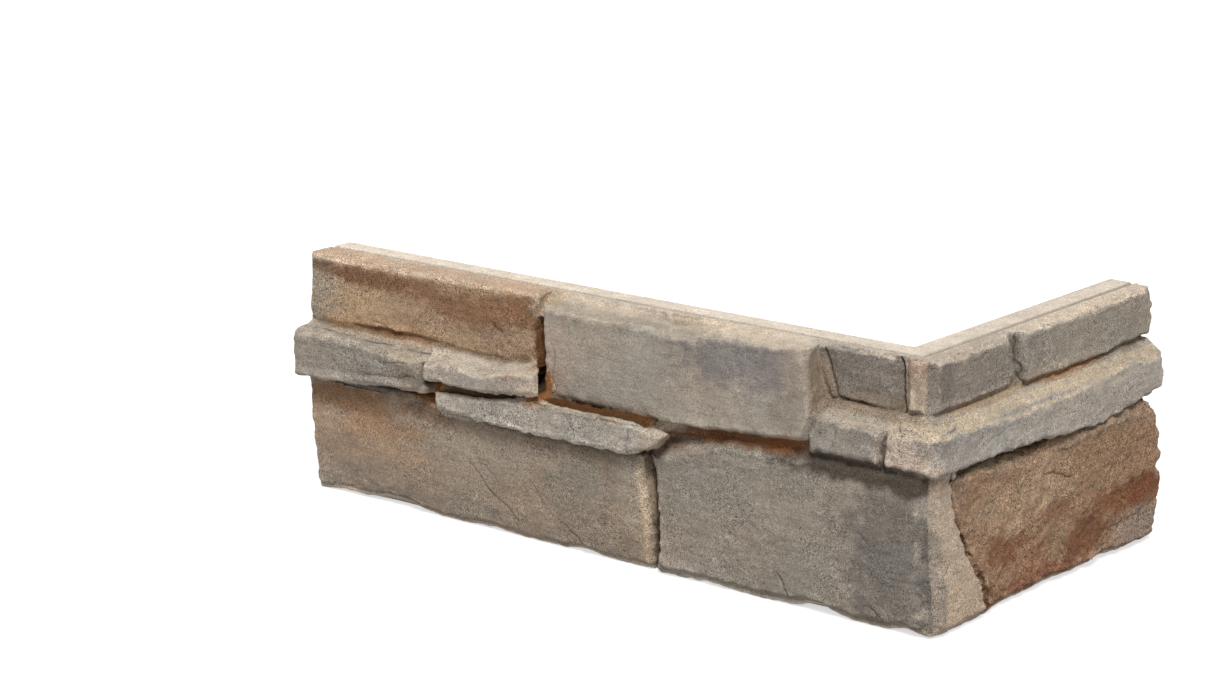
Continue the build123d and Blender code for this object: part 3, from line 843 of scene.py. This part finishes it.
def attribute(name, output="Fac"):
    """A number or a colour that the mesh carries."""
    made = nodes.new("ShaderNodeAttribute")
    made.attribute_name = name
    return made.outputs[output]


print("attributes on the mesh:", [layer.name for layer in skin.attributes if not layer.is_internal])


# %% Helpers that make nodes
# They work in the tree that nodes and wires stand for: the concrete's, and later the floor's and sky's
def grain(scale, detail, rough):
    """A noise on Object coordinates; scale is in lumps per metre."""
    made = nodes.new("ShaderNodeTexNoise")
    made.inputs["Scale"].default_value = scale
    made.inputs["Detail"].default_value = detail
    made.inputs["Roughness"].default_value = rough
    wires.new(where.outputs["Object"], made.inputs["Vector"])
    return made.outputs["Fac"]


def remap(value, low, high, to_low, to_high):
    """Spreads a value between two limits over a new range, and stops there."""
    made = nodes.new("ShaderNodeMapRange")
    sockets = ("From Min", "From Max", "To Min", "To Max")
    for socket, number in zip(sockets, (low, high, to_low, to_high)):
        made.inputs[socket].default_value = number
    wires.new(value, made.inputs["Value"])
    return made.outputs["Result"]


def multiply(first, second):
    """Multiplies a colour by a number."""
    made = nodes.new("ShaderNodeVectorMath")
    made.operation = "MULTIPLY"
    wires.new(first, made.inputs[0])
    wires.new(second, made.inputs[1])
    return made.outputs["Vector"]


def math_node(operation, first, second=None):
    """A sum on numbers or on the outputs of other nodes."""
    made = nodes.new("ShaderNodeMath")
    made.operation = operation
    for socket, value in zip(made.inputs, (first, second)):
        if isinstance(value, (int, float)):
            socket.default_value = value
        elif value is not None:
            wires.new(value, socket)
    return made.outputs["Value"]


# %% Sand, blotches, layers and pores
# Lumps per metre
SAND, CRUMBS, PATCHES, BLOTCHES, LAYERS, PORES = 2000, 800, 70, 240, 900, 1100
LAYER_STRETCH = (0.12, 0.12, 1)

beds = nodes.new("ShaderNodeMapping")
beds.inputs["Scale"].default_value = LAYER_STRETCH
wires.new(where.outputs["Object"], beds.inputs["Vector"])
strata = grain(LAYERS, 3, 0.6)
wires.new(beds.outputs["Vector"], strata.node.inputs["Vector"])
sand = remap(grain(SAND, 2, 0.8), 0.25, 0.75, -0.6, 0.6)
crumbs = remap(grain(CRUMBS, 3, 0.7), 0.3, 0.7, -0.16, 0.16)
patchy = remap(grain(PATCHES, 3, 0.6), 0.35, 0.65, 0.55, 1.3)
specks = math_node("MULTIPLY", math_node("ADD", sand, crumbs), patchy)
specks = math_node("ADD", math_node("MULTIPLY", specks, attribute("speckle")), 1.0)
colour = multiply(attribute("pigment", "Color"), specks)
colour = multiply(colour, remap(grain(BLOTCHES, 5, 0.7), 0.28, 0.72, 0.88, 1.12))
colour = multiply(colour, remap(strata, 0.3, 0.7, 0.9, 1.1))
colour = multiply(colour, remap(grain(PORES, 2, 0.5), 0.27, 0.36, 0.55, 1.0))
print("nodes so far:", len(nodes))

# %% Dark cores of the cracks, and the bump
BUMP_GRAIN, BUMP_STRENGTH, BUMP_DEEP = 1000, 0.8, 0.0011
CORE_DARK = 0.3

aside = math_node("ABSOLUTE", attribute("crack_side"))
core = math_node("MULTIPLY", remap(aside, 0.12, 0.5, 1, 0), attribute("crack_near"))
colour = multiply(colour, remap(core, 0, 1, 1.0, CORE_DARK))
wires.new(colour, principled.inputs["Base Color"])
bump = nodes.new("ShaderNodeBump")
bump.inputs["Strength"].default_value = BUMP_STRENGTH
bump.inputs["Distance"].default_value = BUMP_DEEP
wires.new(math_node("SUBTRACT", grain(BUMP_GRAIN, 5, 0.8), core), bump.inputs["Height"])
wires.new(bump.outputs["Normal"], principled.inputs["Normal"])
skin.materials.clear()
skin.materials.append(cast_stone)
print("nodes in the material:", len(nodes))

# %% [markdown]
# ## The camera
# The place and the lens come from a fit of the strip's straight edges to the photograph: a long lens,
# a little above the top, looking at the corner from the right. A Track To constraint could aim it, but
# the fit also has a very small roll. So the camera's axes are worked out from its compass angle, its
# height angle and that roll.

# %% Camera
AZIMUTH, ELEVATION, ROLL = (math.radians(angle) for angle in (38.49, 14.21, 0.19))
CAMERA_AT = (0.6058, -0.9409, 0.3850)
LENS, SENSOR = 93.6, 36

back = Vector((math.sin(AZIMUTH) * math.cos(ELEVATION), -math.cos(AZIMUTH) * math.cos(ELEVATION),
               math.sin(ELEVATION)))
level = Vector((math.cos(AZIMUTH), math.sin(AZIMUTH), 0))
rise = back.cross(level)
right = math.cos(ROLL) * level + math.sin(ROLL) * rise
top = math.cos(ROLL) * rise - math.sin(ROLL) * level
camera = bpy.data.objects.new("camera", bpy.data.cameras.new("camera"))
scene.collection.objects.link(camera)
camera.data.lens = LENS
camera.data.sensor_width = SENSOR
camera.matrix_world = Matrix.Translation(CAMERA_AT) @ Matrix((right, top, back)).transposed().to_4x4()
scene.camera = camera
scene.view_settings.view_transform = "Standard"
print("camera at", CAMERA_AT, "lens", LENS)

# %% [markdown]
# ## Floor, light and a white surround
# The photograph has a plain white surround and soft light from above and a little from the right. Area
# lamps would give hot spots on so wide a piece. One wide sun gives that direction without them, and a
# dim sky fills the shadows. The floor is a mid grey that glows only where it is looked at, so it looks
# white, keeps the soft shadow, and throws little light back up under the ledges. The sky is white for
# the same rays.

# %% Floor plane
FLOOR_HALF = 4

bm = bmesh.new()
bmesh.ops.create_grid(bm, x_segments=1, y_segments=1, size=FLOOR_HALF)
floor_mesh = bpy.data.meshes.new("floor")
bm.to_mesh(floor_mesh)
bm.free()
floor = bpy.data.objects.new("floor", floor_mesh)
scene.collection.objects.link(floor)
floor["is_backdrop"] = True
print("floor", 2 * FLOOR_HALF, "m wide")

# %% Floor white
FLOOR_GREY, FLOOR_GLOW = (0.5, 0.5, 0.5, 1), 0.62
WHITE = (1, 1, 1, 1)


def seen_rays():
    """1 for the rays that show the surround: from the camera, in gloss and through glass."""
    rays = nodes.new("ShaderNodeLightPath")
    seen = math_node("MAXIMUM", rays.outputs["Is Camera Ray"], rays.outputs["Is Glossy Ray"])
    return math_node("MAXIMUM", seen, rays.outputs["Is Transmission Ray"])


floor_white = bpy.data.materials.new("floor white")
floor_white.use_nodes = True
nodes, wires = floor_white.node_tree.nodes, floor_white.node_tree.links
matte = nodes["Principled BSDF"]
matte.inputs["Base Color"].default_value = FLOOR_GREY
matte.inputs["Roughness"].default_value = 1
matte.inputs["Specular IOR Level"].default_value = 0
matte.inputs["Emission Color"].default_value = WHITE
glow = math_node("MULTIPLY", seen_rays(), FLOOR_GLOW)
wires.new(glow, matte.inputs["Emission Strength"])
floor_mesh.materials.append(floor_white)
print("floor glow", FLOOR_GLOW)

# %% Sun
SUN_FROM = Vector((0.42, -0.53, 0.74))
SUN_ENERGY, SUN_WIDE = 2.72, math.radians(16)

sun = bpy.data.lights.new("soft sun", "SUN")
sun.energy = SUN_ENERGY
sun.angle = SUN_WIDE
sun_object = bpy.data.objects.new("soft sun", sun)
sun_object.rotation_mode = "QUATERNION"
sun_object.rotation_quaternion = SUN_FROM.to_track_quat("Z", "Y")
scene.collection.objects.link(sun_object)
print("sun energy", SUN_ENERGY)

# %% Sky, and white where it is looked at
SKY_COLOUR, SKY_STRENGTH = (1, 0.985, 0.965, 1), 0.6

world = bpy.data.worlds.new("studio")
scene.world = world
world.use_nodes = True
nodes, wires = world.node_tree.nodes, world.node_tree.links
sky = nodes["Background"]
sky.inputs["Color"].default_value = SKY_COLOUR
sky.inputs["Strength"].default_value = SKY_STRENGTH
surround = nodes.new("ShaderNodeBackground")
surround.inputs["Color"].default_value = WHITE
both = nodes.new("ShaderNodeMixShader")
wires.new(seen_rays(), both.inputs["Fac"])
wires.new(sky.outputs["Background"], both.inputs[1])
wires.new(surround.outputs["Background"], both.inputs[2])
wires.new(both.outputs["Shader"], nodes["World Output"].inputs["Surface"])
print("sky strength", SKY_STRENGTH)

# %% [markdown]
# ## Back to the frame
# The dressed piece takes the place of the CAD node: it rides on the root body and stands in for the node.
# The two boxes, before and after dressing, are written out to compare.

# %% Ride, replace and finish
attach(piece, "root")
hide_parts("cast_stone_panel")
low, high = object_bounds()
print("dressed size in mm:", [round(length * 1000, 2) for length in high - low])
